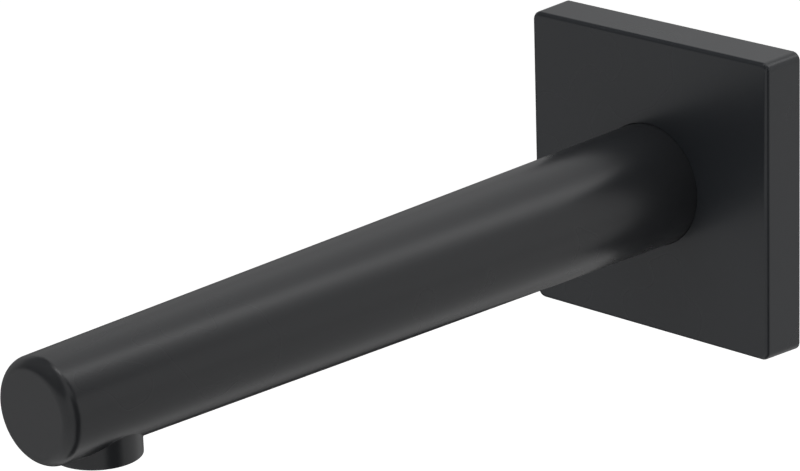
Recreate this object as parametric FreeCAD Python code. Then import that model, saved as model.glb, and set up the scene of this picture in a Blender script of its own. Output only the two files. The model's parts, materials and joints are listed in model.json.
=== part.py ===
"""Wall-mounted bath spout: a tapered round arm on a square cover plate, with a slim outlet under the tip.

Millimetres. +Z is up, +Y goes into the wall, and the arm reaches out along -Y.
The origin is on the arm's axis, in the plane of the finished wall.
"""
import FreeCAD
import Part
import math
import os

V = FreeCAD.Vector
ORIGIN = V(0, 0, 0)
X_AXIS = V(1, 0, 0)
Y_AXIS = V(0, 1, 0)
Z_AXIS = V(0, 0, 1)

# Cover plate: a die-cast square shell with a little mould draft
PLATE_SIDE = 70.0
PLATE_DEPTH = 11.0
PLATE_DRAFT_DEG = 1.5
PLATE_CORNER_R = 2.0
PLATE_EDGE_R = 1.0
PLATE_FRONT_WALL = 3.0
RIM_LIP = 1.6
CAVITY_CORNER_R = 3.0
COLLAR_WALL = 2.4
COLLAR_REAR_LAND = 1.2

# Foam seal that lies in a rebate of the plate's rim and meets the wall
WALL_SEAL_WIDTH = 2.5
WALL_SEAL_THICKNESS = 2.0

# Arm: a cast tube, thick at the wall and slimmer at the tip
REACH = 180.0
TIP_OVERHANG = 16.5
BASE_D = 28.5
TIP_D = 23.0
TIP_EDGE_R = 3.0
TIP_END_WALL = 6.0
TIP_WALL = 3.5
SOCKET_WALL = 4.2
SOCKET_END_WALL = 4.4
WATERWAY_END_CHAMFER = 3.0
ARM_IN_PLATE_CLEARANCE = 0.15

# Connection nipple: a half-inch pipe thread behind, a sealed spigot in front
PIPE_THREAD_D = 20.955
PIPE_THREAD_PITCH = 1.814
THREAD_DEPTH_PER_PITCH = 0.6403
THREAD_LENGTH = 14.0
THREAD_AHEAD_OF_WALL = 0.5
THREAD_RELIEF_PITCHES = 1.0
NIPPLE_WALL = 3.0
FLANGE_ACROSS_FLATS = 24.0
FLANGE_THICKNESS = 2.5
SPIGOT_LENGTH = 28.0
SPIGOT_CLEARANCE = 0.05
SOCKET_END_GAP = 1.0
LEAD_IN = 1.0

# O-rings: one cord size throughout, drawn as squeezed between their two seats, with bevelled sides
RING_CORD_D = 2.0
RING_SQUEEZE = 0.4
RING_BEVEL = 0.5
RING_SPACING = 4.5
RING_GROOVE_SIDE_ROOM = 0.15
RING_LAND = 2.0

# Grub screw under the arm, whose cone point sits in a groove of the spigot
SCREW_D = 5.0
SCREW_BELOW_SKIN = 0.4
SCREW_KEY = 2.5
SCREW_KEY_DEPTH = 2.4
SCREW_END_CHAMFER = 0.5
SCREW_AHEAD_OF_PLATE = 6.5
SCREW_CLEARANCE = 0.05
SCREW_GROOVE_DEPTH = 1.5
SCREW_POINT_D = 0.4
SCREW_HOLE_CHAMFER = 0.3

# Outlet: a short round spigot with a fine inner thread and a seat for the aerator
OUTLET_BELOW_AXIS = 13.4
OUTLET_THREAD_D = 16.5
OUTLET_WALL = 1.0
OUTLET_THREAD_LENGTH = 5.8
OUTLET_SEAT_THICKNESS = 1.7
OUTLET_SEAT_WIDTH = 1.65
OUTLET_MOUTH_CHAMFER = 0.3
OUTLET_EDGE_CHAMFER = 0.2

# Aerator: a screwed-in plastic cartridge that stays hidden in the outlet
AERATOR_RECESS = 0.2
AERATOR_THREAD_CLEARANCE = 0.05
AERATOR_INSERT_CLEARANCE = 0.05
AERATOR_SEAL_THICKNESS = 1.0
AERATOR_NECK_CLEARANCE = 0.2
AERATOR_NECK_ABOVE_SEAT = 0.9
AERATOR_NECK_WALL = 0.8
AERATOR_LEDGE = 0.7
AERATOR_LEDGE_THICKNESS = 0.8
AERATOR_RIM_WALL = 1.15
KEY_NOTCHES = 8
KEY_NOTCH_WIDTH = 1.6
KEY_NOTCH_DEPTH = 1.0
KEY_NOTCH_WALL = 0.4
GRID_THICKNESS = 1.8
GRID_RECESS = 0.3
GRID_CELL = 1.5
GRID_WEB = 0.4
GRID_RIM = 0.6
MESH_THICKNESS = 0.4
MESH_PITCH = 1.1
MESH_GAP = 0.7
MESH_RIM = 0.5
JET_PLATE_THICKNESS = 1.5
JET_HOLE_D = 0.9
JET_RING_RADII = (2.0, 3.9)
JET_SPACING = 2.4
DOME_WALL = 0.6
DOME_RIM_WIDTH = 1.0
DOME_RIM_HEIGHT = 0.8
DOME_RISE = 3.0
DOME_HOLE_D = 1.0
DOME_RING_SHARES = (0.3, 0.65)
DOME_HOLE_SPACING = 2.6

# Places along the arm (y) that follow from the sizes above
ARM_LENGTH = REACH + TIP_OVERHANG
PLATE_FRONT_Y = -PLATE_DEPTH
CAVITY_FLOOR_Y = PLATE_FRONT_Y + PLATE_FRONT_WALL
PIPE_THREAD_DEPTH = THREAD_DEPTH_PER_PITCH * PIPE_THREAD_PITCH
THREAD_START_Y = -THREAD_AHEAD_OF_WALL
THREAD_END_Y = THREAD_START_Y + THREAD_LENGTH
FLANGE_REAR_Y = THREAD_START_Y - THREAD_RELIEF_PITCHES * PIPE_THREAD_PITCH
FLANGE_FRONT_Y = FLANGE_REAR_Y - FLANGE_THICKNESS
TAIL_Y = FLANGE_FRONT_Y
SPIGOT_FRONT_Y = FLANGE_FRONT_Y - SPIGOT_LENGTH
SOCKET_END_Y = SPIGOT_FRONT_Y - SOCKET_END_GAP
WATERWAY_END_Y = -(ARM_LENGTH - TIP_END_WALL)
SCREW_Y = PLATE_FRONT_Y - SCREW_AHEAD_OF_PLATE
RING_HEIGHT = RING_CORD_D - RING_SQUEEZE
RING_WIDTH = (math.pi * RING_CORD_D ** 2 / 4 + 2 * RING_BEVEL ** 2) / RING_HEIGHT
GROOVE_WIDTH = RING_WIDTH + 2 * RING_GROOVE_SIDE_ROOM
FRONT_RING_Y = SPIGOT_FRONT_Y + RING_LAND + GROOVE_WIDTH / 2
REAR_RING_Y = FRONT_RING_Y + RING_SPACING
COLLAR_REAR_Y = TAIL_Y
COLLAR_RING_Y = COLLAR_REAR_Y - COLLAR_REAR_LAND - GROOVE_WIDTH / 2

# Radii that mating pieces share
BASE_R = BASE_D / 2
SOCKET_R = BASE_R - SOCKET_WALL
SPIGOT_R = SOCKET_R - SPIGOT_CLEARANCE
NIPPLE_BORE_R = SPIGOT_R - NIPPLE_WALL
NIPPLE_RING_FLOOR_R = SOCKET_R - RING_HEIGHT
COLLAR_BORE_R = BASE_R + ARM_IN_PLATE_CLEARANCE
COLLAR_RING_FLOOR_R = BASE_R + RING_HEIGHT
COLLAR_R = COLLAR_RING_FLOOR_R + COLLAR_WALL
SEAL_OUTER_HALF = PLATE_SIDE / 2 - RIM_LIP
CAVITY_HALF = SEAL_OUTER_HALF - WALL_SEAL_WIDTH
SCREW_TIP_R = SPIGOT_R - SCREW_GROOVE_DEPTH
OUTLET_R = OUTLET_THREAD_D / 2 + OUTLET_WALL
SEAT_BORE_R = OUTLET_THREAD_D / 2 - OUTLET_SEAT_WIDTH

# Heights in the outlet (z) that the aerator's pieces share
OUTLET_MOUTH_Z = -OUTLET_BELOW_AXIS
SEAT_Z = OUTLET_MOUTH_Z + OUTLET_THREAD_LENGTH
SEAT_TOP_Z = SEAT_Z + OUTLET_SEAT_THICKNESS
HOUSING_BOTTOM_Z = OUTLET_MOUTH_Z + AERATOR_RECESS
HOUSING_SHOULDER_Z = SEAT_Z - AERATOR_SEAL_THICKNESS
HOUSING_TOP_Z = SEAT_TOP_Z + AERATOR_NECK_ABOVE_SEAT
HOUSING_R = OUTLET_THREAD_D / 2 - AERATOR_THREAD_CLEARANCE
NECK_R = SEAT_BORE_R - AERATOR_NECK_CLEARANCE
CHAMBER_R = NECK_R - AERATOR_NECK_WALL
INSERT_R = CHAMBER_R - AERATOR_INSERT_CLEARANCE
MOUTH_R = HOUSING_R - AERATOR_RIM_WALL
GRID_R = MOUTH_R - AERATOR_INSERT_CLEARANCE
GRID_BOTTOM_Z = HOUSING_BOTTOM_Z + GRID_RECESS
GRID_TOP_Z = GRID_BOTTOM_Z + GRID_THICKNESS
LEDGE_Z = HOUSING_TOP_Z - JET_PLATE_THICKNESS


def arm_radius(y):
    """Outer radius of the arm at y, along its straight taper from the plate to the tip's rounding."""
    taper_end_y = -(ARM_LENGTH - TIP_EDGE_R)
    share = (y - PLATE_FRONT_Y) / (taper_end_y - PLATE_FRONT_Y)
    return BASE_R + share * (TIP_D / 2 - BASE_R)


def turned(profile, centre=ORIGIN, axis=Y_AXIS):
    """A solid of revolution. The profile's points are (radius, place along the axis)."""
    outward = X_AXIS
    points = [centre + outward * r + axis * t for r, t in profile]
    wire = Part.makePolygon(points + [points[0]])
    return Part.Face(wire).revolve(centre, axis, 360)


def ring(inner_r, outer_r, low, high, centre=ORIGIN, axis=Y_AXIS):
    """A plain ring or tube between two radii."""
    return turned([(inner_r, low), (outer_r, low), (outer_r, high), (inner_r, high)], centre, axis)


def hexagon(centre, across_flats, axis, height):
    """A hexagonal column along the axis, with two of its flats square to X."""
    corner = X_AXIS * (across_flats / math.sqrt(3))
    turns = [FreeCAD.Rotation(axis, 60 * i + 30) for i in range(7)]
    points = [centre + turn.multVec(corner) for turn in turns]
    return Part.Face(Part.makePolygon(points)).extrude(axis * height)


def o_ring(inner_r, centre_y):
    """An O-ring squeezed between a groove's floor and a bore. Its section keeps the round cord's area."""
    outer_r = inner_r + RING_HEIGHT
    half_width = RING_WIDTH / 2
    half_flat = half_width - RING_BEVEL
    return turned([
        (inner_r, centre_y - half_flat),
        (inner_r, centre_y + half_flat),
        (inner_r + RING_BEVEL, centre_y + half_width),
        (outer_r - RING_BEVEL, centre_y + half_width),
        (outer_r, centre_y + half_flat),
        (outer_r, centre_y - half_flat),
        (outer_r - RING_BEVEL, centre_y - half_width),
        (inner_r + RING_BEVEL, centre_y - half_width),
    ])


def square_block(half, corner_r, front_y, rear_y, draft_deg=0.0):
    """A square block on the arm's axis, which narrows towards the front by its draft, with rounded corners."""
    front_half = half - (rear_y - front_y) * math.tan(math.radians(draft_deg))
    block = Part.makeWedge(-half, 0, -half, -front_half, -front_half,
                           half, rear_y - front_y, half, front_half, front_half)
    block.rotate(ORIGIN, X_AXIS, 180)
    block.translate(V(0, rear_y, 0))
    corners = [e for e in block.Edges if abs(e.tangentAt(e.FirstParameter).y) > 0.5]
    return block.makeFillet(corner_r, corners)


def edges_at(shape, y):
    """The edges that lie whole in the plane at y."""
    return [e for e in shape.Edges if abs(e.BoundBox.YMin - y) < 1e-4 and abs(e.BoundBox.YMax - y) < 1e-4]


def escutcheon():
    """The square cover plate, open at the back, with a collar that holds the arm's O-ring."""
    block = square_block(PLATE_SIDE / 2, PLATE_CORNER_R, PLATE_FRONT_Y, 0, PLATE_DRAFT_DEG)
    plate = block.makeFillet(PLATE_EDGE_R, edges_at(block, PLATE_FRONT_Y))
    cavity = square_block(CAVITY_HALF, CAVITY_CORNER_R, CAVITY_FLOOR_Y, 0)
    rebate = square_block(SEAL_OUTER_HALF, CAVITY_CORNER_R, -WALL_SEAL_THICKNESS, 0)
    collar = ring(COLLAR_BORE_R, COLLAR_R, CAVITY_FLOOR_Y - PLATE_FRONT_WALL / 2, COLLAR_REAR_Y)
    bore = ring(0, COLLAR_BORE_R, PLATE_FRONT_Y, COLLAR_REAR_Y)
    half_groove = GROOVE_WIDTH / 2
    groove = ring(COLLAR_BORE_R, COLLAR_RING_FLOOR_R, COLLAR_RING_Y - half_groove, COLLAR_RING_Y + half_groove)
    return plate.cut(cavity).cut(rebate).fuse(collar).cut(bore).cut(groove).removeSplitter()


def wall_seal():
    """The square frame of foam in the rim's rebate, flush with the wall."""
    outer = square_block(SEAL_OUTER_HALF, CAVITY_CORNER_R, -WALL_SEAL_THICKNESS, 0)
    inner = square_block(CAVITY_HALF, CAVITY_CORNER_R, -WALL_SEAL_THICKNESS, 0)
    return outer.cut(inner)


def arm_outside():
    """The arm's outer form: a straight tail in the plate, a long taper and a rounded tip."""
    sharp = turned([
        (0, TAIL_Y),
        (BASE_R, TAIL_Y),
        (BASE_R, PLATE_FRONT_Y),
        (arm_radius(-ARM_LENGTH), -ARM_LENGTH),
        (0, -ARM_LENGTH),
    ])
    return sharp.makeFillet(TIP_EDGE_R, edges_at(sharp, -ARM_LENGTH))


def waterway():
    """The hollow of the arm: the socket for the nipple, then a long tapered core with a chamfered end."""
    socket = turned([
        (0, TAIL_Y),
        (SOCKET_R + LEAD_IN / 2, TAIL_Y),
        (SOCKET_R, TAIL_Y - LEAD_IN),
        (SOCKET_R, SOCKET_END_Y),
        (0, SOCKET_END_Y),
    ])
    core = turned([
        (0, SOCKET_END_Y),
        (arm_radius(SOCKET_END_Y) - SOCKET_END_WALL, SOCKET_END_Y),
        (arm_radius(WATERWAY_END_Y) - TIP_WALL, WATERWAY_END_Y),
        (0, WATERWAY_END_Y),
    ])
    return socket, core.makeChamfer(WATERWAY_END_CHAMFER, edges_at(core, WATERWAY_END_Y))


def spout_arm():
    """The arm in one piece, with its waterway, its outlet spigot and the grub screw's hole."""
    outlet = V(0, -REACH, 0)
    socket, core = waterway()
    spigot = turned([
        (0, OUTLET_MOUTH_Z),
        (OUTLET_R - OUTLET_EDGE_CHAMFER, OUTLET_MOUTH_Z),
        (OUTLET_R, OUTLET_MOUTH_Z + OUTLET_EDGE_CHAMFER),
        (OUTLET_R, SEAT_TOP_Z),
        (0, SEAT_TOP_Z),
    ], outlet, Z_AXIS)
    thread_bore = turned([
        (0, OUTLET_MOUTH_Z),
        (OUTLET_THREAD_D / 2 + OUTLET_MOUTH_CHAMFER, OUTLET_MOUTH_Z),
        (OUTLET_THREAD_D / 2, OUTLET_MOUTH_Z + OUTLET_MOUTH_CHAMFER),
        (OUTLET_THREAD_D / 2, SEAT_Z),
        (0, SEAT_Z),
    ], outlet, Z_AXIS)
    seat_bore = ring(0, SEAT_BORE_R, SEAT_Z, 0, outlet, Z_AXIS)
    skin_z = -arm_radius(SCREW_Y)
    screw_hole = turned([
        (0, 2 * skin_z),
        (SCREW_D / 2 + SCREW_HOLE_CHAMFER - skin_z, 2 * skin_z),
        (SCREW_D / 2, skin_z + SCREW_HOLE_CHAMFER),
        (SCREW_D / 2, 0),
        (0, 0),
    ], V(0, SCREW_Y, 0), Z_AXIS)
    hollow_arm = arm_outside().cut(socket).cut(core).fuse(spigot)
    return hollow_arm.cut(thread_bore).cut(seat_bore).cut(screw_hole).removeSplitter()


def connection_nipple():
    """The brass nipple: pipe thread, hexagon flange, and a spigot with two O-ring grooves and a screw groove."""
    thread_r = PIPE_THREAD_D / 2
    root_r = thread_r - PIPE_THREAD_DEPTH
    half_groove = GROOVE_WIDTH / 2
    body = turned([
        (NIPPLE_BORE_R, SPIGOT_FRONT_Y),
        (SPIGOT_R - LEAD_IN / 2, SPIGOT_FRONT_Y),
        (SPIGOT_R, SPIGOT_FRONT_Y + LEAD_IN),
        (SPIGOT_R, FRONT_RING_Y - half_groove),
        (NIPPLE_RING_FLOOR_R, FRONT_RING_Y - half_groove),
        (NIPPLE_RING_FLOOR_R, FRONT_RING_Y + half_groove),
        (SPIGOT_R, FRONT_RING_Y + half_groove),
        (SPIGOT_R, REAR_RING_Y - half_groove),
        (NIPPLE_RING_FLOOR_R, REAR_RING_Y - half_groove),
        (NIPPLE_RING_FLOOR_R, REAR_RING_Y + half_groove),
        (SPIGOT_R, REAR_RING_Y + half_groove),
        (SPIGOT_R, SCREW_Y - SCREW_GROOVE_DEPTH),
        (SCREW_TIP_R, SCREW_Y),
        (SPIGOT_R, SCREW_Y + SCREW_GROOVE_DEPTH),
        (SPIGOT_R, FLANGE_FRONT_Y),
        (root_r, FLANGE_REAR_Y),
        (root_r, THREAD_START_Y - PIPE_THREAD_DEPTH),
        (thread_r, THREAD_START_Y),
        (thread_r, THREAD_END_Y - PIPE_THREAD_DEPTH),
        (root_r, THREAD_END_Y),
        (NIPPLE_BORE_R, THREAD_END_Y),
    ])
    corner_r = FLANGE_ACROSS_FLATS / math.sqrt(3)
    flange = hexagon(V(0, FLANGE_FRONT_Y, 0), FLANGE_ACROSS_FLATS, Y_AXIS, FLANGE_THICKNESS)
    chamfer_rise = (corner_r - FLANGE_ACROSS_FLATS / 2) * math.tan(math.radians(30))
    rounding = turned([
        (0, FLANGE_FRONT_Y),
        (corner_r, FLANGE_FRONT_Y),
        (corner_r, FLANGE_REAR_Y - chamfer_rise),
        (FLANGE_ACROSS_FLATS / 2, FLANGE_REAR_Y),
        (0, FLANGE_REAR_Y),
    ])
    bore = ring(0, NIPPLE_BORE_R, SPIGOT_FRONT_Y, THREAD_END_Y)
    return body.fuse(flange.common(rounding)).cut(bore).removeSplitter()


def grub_screw():
    """A headless set screw, drawn with its axis up and down, with a cone point and a hexagon socket below."""
    outer_r = SCREW_D / 2 - SCREW_CLEARANCE
    point_r = SCREW_POINT_D / 2
    tip_z = -(SCREW_TIP_R + point_r + SCREW_CLEARANCE)
    end_z = SCREW_BELOW_SKIN - arm_radius(SCREW_Y)
    centre = V(0, SCREW_Y, 0)
    body = turned([
        (0, tip_z),
        (point_r, tip_z),
        (outer_r, tip_z - (outer_r - point_r)),
        (outer_r, end_z + SCREW_END_CHAMFER),
        (outer_r - SCREW_END_CHAMFER, end_z),
        (0, end_z),
    ], centre, Z_AXIS)
    return body.cut(hexagon(centre + Z_AXIS * end_z, SCREW_KEY, Z_AXIS, SCREW_KEY_DEPTH))


def aerator_housing():
    """The cartridge's shell: a threaded skirt with key notches, and a neck that rises through the seat."""
    outlet = V(0, -REACH, 0)
    ledge_r = CHAMBER_R - AERATOR_LEDGE
    shell = turned([
        (MOUTH_R, HOUSING_BOTTOM_Z),
        (HOUSING_R, HOUSING_BOTTOM_Z),
        (HOUSING_R, HOUSING_SHOULDER_Z),
        (NECK_R, HOUSING_SHOULDER_Z),
        (NECK_R, HOUSING_TOP_Z),
        (CHAMBER_R, HOUSING_TOP_Z),
        (CHAMBER_R, LEDGE_Z),
        (ledge_r, LEDGE_Z),
        (ledge_r, LEDGE_Z - AERATOR_LEDGE_THICKNESS),
        (CHAMBER_R, LEDGE_Z - AERATOR_LEDGE_THICKNESS - AERATOR_LEDGE),
        (CHAMBER_R, GRID_TOP_Z),
        (MOUTH_R, GRID_TOP_Z),
    ], outlet, Z_AXIS)
    notch = Part.makeBox(HOUSING_R, KEY_NOTCH_WIDTH, KEY_NOTCH_DEPTH)
    notch.translate(outlet + V(MOUTH_R + KEY_NOTCH_WALL, -KEY_NOTCH_WIDTH / 2, HOUSING_BOTTOM_Z))
    for i in range(KEY_NOTCHES):
        turned_notch = notch.copy()
        turned_notch.rotate(outlet, Z_AXIS, 360 * i / KEY_NOTCHES)
        shell = shell.cut(turned_notch)
    return shell


def aerator_seal():
    """The flat washer between the cartridge's shoulder and the outlet's seat."""
    inner_r = NECK_R + AERATOR_NECK_CLEARANCE / 2
    return ring(inner_r, HOUSING_R, HOUSING_SHOULDER_Z, SEAT_Z, V(0, -REACH, 0), Z_AXIS)


def outlet_grid():
    """The honeycomb that straightens the stream, in the mouth of the cartridge."""
    outlet = V(0, -REACH, 0)
    disc = ring(0, GRID_R, GRID_BOTTOM_Z, GRID_TOP_Z, outlet, Z_AXIS)
    pitch = GRID_CELL + GRID_WEB
    row_height = pitch * math.sqrt(3) / 2
    reach = GRID_R - GRID_RIM - GRID_CELL / math.sqrt(3)
    rows = int(GRID_R / row_height)
    cells = []
    for row in range(-rows, rows + 1):
        for column in range(-rows, rows + 1):
            x = (column + (row % 2) / 2) * pitch
            y = row * row_height
            if math.hypot(x, y) <= reach:
                cells.append(hexagon(outlet + V(x, y, GRID_BOTTOM_Z), GRID_CELL, Z_AXIS, GRID_THICKNESS))
    return disc.cut(Part.makeCompound(cells))


def mesh_screen():
    """The woven wire disc on top of the honeycomb, drawn as a sheet with square gaps."""
    outlet = V(0, -REACH, 0)
    disc = ring(0, INSERT_R, GRID_TOP_Z, GRID_TOP_Z + MESH_THICKNESS, outlet, Z_AXIS)
    reach = INSERT_R - MESH_RIM - MESH_GAP / math.sqrt(2)
    count = int(INSERT_R / MESH_PITCH)
    gaps = []
    for i in range(-count, count + 1):
        for j in range(-count, count + 1):
            x, y = i * MESH_PITCH, j * MESH_PITCH
            if math.hypot(x, y) <= reach:
                gap = Part.makeBox(MESH_GAP, MESH_GAP, MESH_THICKNESS)
                gap.translate(outlet + V(x - MESH_GAP / 2, y - MESH_GAP / 2, GRID_TOP_Z))
                gaps.append(gap)
    return disc.cut(Part.makeCompound(gaps))


def jet_plate():
    """The perforated disc that splits the flow into fine jets."""
    outlet = V(0, -REACH, 0)
    disc = ring(0, INSERT_R, LEDGE_Z, HOUSING_TOP_Z, outlet, Z_AXIS)
    holes = []
    for radius in JET_RING_RADII:
        count = round(2 * math.pi * radius / JET_SPACING)
        for i in range(count):
            angle = 2 * math.pi * i / count
            place = outlet + V(radius * math.cos(angle), radius * math.sin(angle), 0)
            holes.append(ring(0, JET_HOLE_D / 2, LEDGE_Z, HOUSING_TOP_Z, place, Z_AXIS))
    return disc.cut(Part.makeCompound(holes))


def dome_screen():
    """The domed strainer on the cartridge's neck, which keeps grit out of the jets."""
    outlet = V(0, -REACH, 0)
    rim_z = HOUSING_TOP_Z + DOME_RIM_HEIGHT
    ball_r = (NECK_R ** 2 + DOME_RISE ** 2) / (2 * DOME_RISE)
    ball_centre = outlet + V(0, 0, rim_z + DOME_RISE - ball_r)
    above_rim = ring(0, NECK_R, rim_z, rim_z + DOME_RISE, outlet, Z_AXIS)
    outer = Part.makeSphere(ball_r, ball_centre).common(above_rim)
    inner = Part.makeSphere(ball_r - DOME_WALL, ball_centre).common(above_rim)
    rim = ring(NECK_R - DOME_RIM_WIDTH, NECK_R, HOUSING_TOP_Z, rim_z, outlet, Z_AXIS)
    dome = outer.cut(inner).fuse(rim).removeSplitter()
    rim_angle = math.degrees(math.asin(NECK_R / ball_r))
    drills = []
    for share in DOME_RING_SHARES:
        ring_r = ball_r * math.sin(math.radians(rim_angle * share))
        count = round(2 * math.pi * ring_r / DOME_HOLE_SPACING)
        for i in range(count):
            drill = Part.makeCylinder(DOME_HOLE_D / 2, 4 * DOME_WALL, V(0, 0, ball_r - 2 * DOME_WALL))
            drill.rotate(ORIGIN, Y_AXIS, rim_angle * share)
            drill.rotate(ORIGIN, Z_AXIS, 360 * i / count)
            drill.translate(ball_centre)
            drills.append(drill)
    return dome.cut(Part.makeCompound(drills))


def build():
    """Makes every piece and writes each to its own file."""
    pieces = {
        "spout_arm": spout_arm(),
        "escutcheon": escutcheon(),
        "wall_seal": wall_seal(),
        "escutcheon_o_ring": o_ring(BASE_R, COLLAR_RING_Y),
        "connection_nipple": connection_nipple(),
        "nipple_o_ring_front": o_ring(NIPPLE_RING_FLOOR_R, FRONT_RING_Y),
        "nipple_o_ring_rear": o_ring(NIPPLE_RING_FLOOR_R, REAR_RING_Y),
        "grub_screw": grub_screw(),
        "aerator_housing": aerator_housing(),
        "aerator_seal": aerator_seal(),
        "aerator_dome_screen": dome_screen(),
        "aerator_jet_plate": jet_plate(),
        "aerator_mesh_screen": mesh_screen(),
        "aerator_outlet_grid": outlet_grid(),
    }
    os.makedirs("parts", exist_ok=True)
    for name, shape in pieces.items():
        shape.exportStep(os.path.join("parts", name + ".step"))
        box = shape.BoundBox
        print(f"{name:22s} solids {len(shape.Solids)} valid {shape.isValid()} volume {shape.Volume:10.2f}"
              f" x {box.XMin:7.2f}..{box.XMax:6.2f} y {box.YMin:8.2f}..{box.YMax:6.2f}"
              f" z {box.ZMin:7.2f}..{box.ZMax:6.2f}")


build()
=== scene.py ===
# %% [markdown]
# # A wall-mounted bath spout
# The spout is a long tapered arm on a square cover plate, with a short round outlet under its tip. Arm and plate
# wear a smooth satin black coating. The solids come from CAD as a fixed frame, in metres, with the wall in the
# plane y = 0, the arm reaching out along -Y and +Z up.
# Some solids only need a better finish. Others are drawn again here with what CAD leaves plain: threads, round
# O-rings, the casting's small fillet and a woven screen.

# %% Load the solids and keep their box
import json
import math
import bmesh
import bpy
from mathutils import Matrix, Vector

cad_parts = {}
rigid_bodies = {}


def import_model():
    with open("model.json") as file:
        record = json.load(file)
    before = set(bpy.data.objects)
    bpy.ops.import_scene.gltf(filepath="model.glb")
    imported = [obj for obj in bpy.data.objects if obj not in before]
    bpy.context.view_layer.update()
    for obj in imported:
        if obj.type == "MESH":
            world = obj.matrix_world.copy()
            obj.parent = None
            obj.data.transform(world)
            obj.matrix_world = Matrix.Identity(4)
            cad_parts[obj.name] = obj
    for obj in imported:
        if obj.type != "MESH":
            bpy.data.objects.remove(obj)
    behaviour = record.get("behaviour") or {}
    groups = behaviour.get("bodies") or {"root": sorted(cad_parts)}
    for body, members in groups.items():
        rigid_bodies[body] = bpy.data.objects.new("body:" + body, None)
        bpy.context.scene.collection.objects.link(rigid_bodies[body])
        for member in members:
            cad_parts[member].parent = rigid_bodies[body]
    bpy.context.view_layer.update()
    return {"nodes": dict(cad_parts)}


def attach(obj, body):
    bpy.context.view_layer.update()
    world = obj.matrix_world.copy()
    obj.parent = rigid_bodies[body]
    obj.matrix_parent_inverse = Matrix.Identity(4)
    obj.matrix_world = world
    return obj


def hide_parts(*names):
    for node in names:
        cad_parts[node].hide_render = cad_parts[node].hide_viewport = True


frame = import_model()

MM = 0.001

# %% [markdown]
# The sizes below repeat the CAD's named values in millimetres, because the pieces that are drawn again must meet
# the solids that stay. A place along the arm is written as its distance out from the wall, so the tip is at 196.5.

# %% Sizes that the drawn pieces share with the solids
PLATE_DEPTH = 11.0
REACH = 180.0
ARM_LENGTH = 196.5
BASE_R = 14.25
TIP_R = 11.5
TIP_EDGE_R = 3.0
TAIL = 4.814
SOCKET_END = 33.814
SOCKET_R = 10.05
WATERWAY_END = 190.5
OUTLET_R = 9.25
OUTLET_BORE_R = 8.25
OUTLET_MOUTH_Z = -13.4
SEAT_Z = -7.6
SEAT_TOP_Z = -5.9
SEAT_BORE_R = 6.6
TAPER = (BASE_R - TIP_R) / (ARM_LENGTH - TIP_EDGE_R - PLATE_DEPTH)


def arm_radius(out):
    """The arm's outer radius at a distance out from the wall."""
    return BASE_R - TAPER * (out - PLATE_DEPTH)


print("radius over the outlet:", round(arm_radius(REACH), 3), "mm")

# %% [markdown]
# Materials and geometry are both built as node trees here. One small function adds a node, sets its options and
# fills or links its inputs, so a whole tree reads as a short list. Colours are written as sRGB hex values, as a
# colour picker shows them, and turned to the linear values that Blender's sockets expect.

# %% Helpers for node trees and colours
def add(tree, kind, inputs=None, **options):
    """Adds a node. inputs names each socket, or counts it, and gives a plain value or another node's output."""
    made = tree.nodes.new(kind)
    for option, value in options.items():
        setattr(made, option, value)
    for socket, value in (inputs or {}).items():
        if isinstance(value, bpy.types.NodeSocket):
            tree.links.new(value, made.inputs[socket])
        else:
            made.inputs[socket].default_value = value
    return made


def colour(hex_code):
    """An sRGB hex code as the linear colour that a socket takes."""
    shares = [int(hex_code[i:i + 2], 16) / 255 for i in (1, 3, 5)]
    linear = [s / 12.92 if s <= 0.04045 else ((s + 0.055) / 1.055) ** 2.4 for s in shares]
    return (*linear, 1.0)


def new_material(name):
    """An empty material with its shader and output in place. Returns the material, its tree and the shader."""
    material = bpy.data.materials.new(name)
    material.use_nodes = True
    tree = material.node_tree
    tree.nodes.clear()
    shader = add(tree, "ShaderNodeBsdfPrincipled")
    add(tree, "ShaderNodeOutputMaterial", {"Surface": shader.outputs["BSDF"]})
    return material, tree, shader


print("satin black in linear light:", [round(v, 4) for v in colour("#1F2022")[:3]])

# %% [markdown]
# The black is a powder coat: dry polyester powder is sprayed on the blasted metal and baked until it flows out.
# It keeps a little orange peel, slow waves a few millimetres long and some micrometres high, and a much finer
# grain that makes the gloss satin. A bump node gives the waves, and a slow noise moves the roughness a little, so
# that a large flat face isn't dead. Nearly all of its brightness is reflection, so the base colour is very dark.

# %% Satin black powder coat
def powder_coat(name, base, roughness, gloss):
    """A satin powder coat. Its noise runs on Object coordinates, so it sits still on the metal."""
    material, tree, shader = new_material(name)
    shader.inputs["Base Color"].default_value = colour(base)
    shader.inputs["IOR"].default_value = 1.4
    shader.inputs["Specular IOR Level"].default_value = gloss
    place = add(tree, "ShaderNodeTexCoord").outputs["Object"]
    peel_mm, grain_mm, wash_mm = 2.2, 0.35, 30
    peel = add(tree, "ShaderNodeTexNoise", {"Vector": place, "Scale": 1 / (peel_mm * MM), "Detail": 1.0})
    grain = add(tree, "ShaderNodeTexNoise", {"Vector": place, "Scale": 1 / (grain_mm * MM), "Detail": 2.0})
    wash = add(tree, "ShaderNodeTexNoise", {"Vector": place, "Scale": 1 / (wash_mm * MM), "Detail": 2.0})
    spread = add(tree, "ShaderNodeMapRange", {
        "Value": wash.outputs["Fac"], "From Min": 0.3, "From Max": 0.7,
        "To Min": roughness - 0.015, "To Max": roughness + 0.015})
    tree.links.new(spread.outputs["Result"], shader.inputs["Roughness"])
    waves = add(tree, "ShaderNodeBump", {
        "Height": peel.outputs["Fac"], "Distance": 0.004 * MM, "Strength": 1.0})
    fine = add(tree, "ShaderNodeBump", {
        "Height": grain.outputs["Fac"], "Distance": 0.0012 * MM, "Strength": 1.0, "Normal": waves.outputs["Normal"]})
    tree.links.new(fine.outputs["Normal"], shader.inputs["Normal"])
    return material


coated_brass = powder_coat("satin_black_powder_coat_on_brass", "#1F2022", 0.28, 0.45)
coated_plate = powder_coat("satin_black_powder_coat_on_zinc", "#1E2023", 0.28, 0.45)
print("made", coated_brass.name, "and", coated_plate.name)

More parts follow.
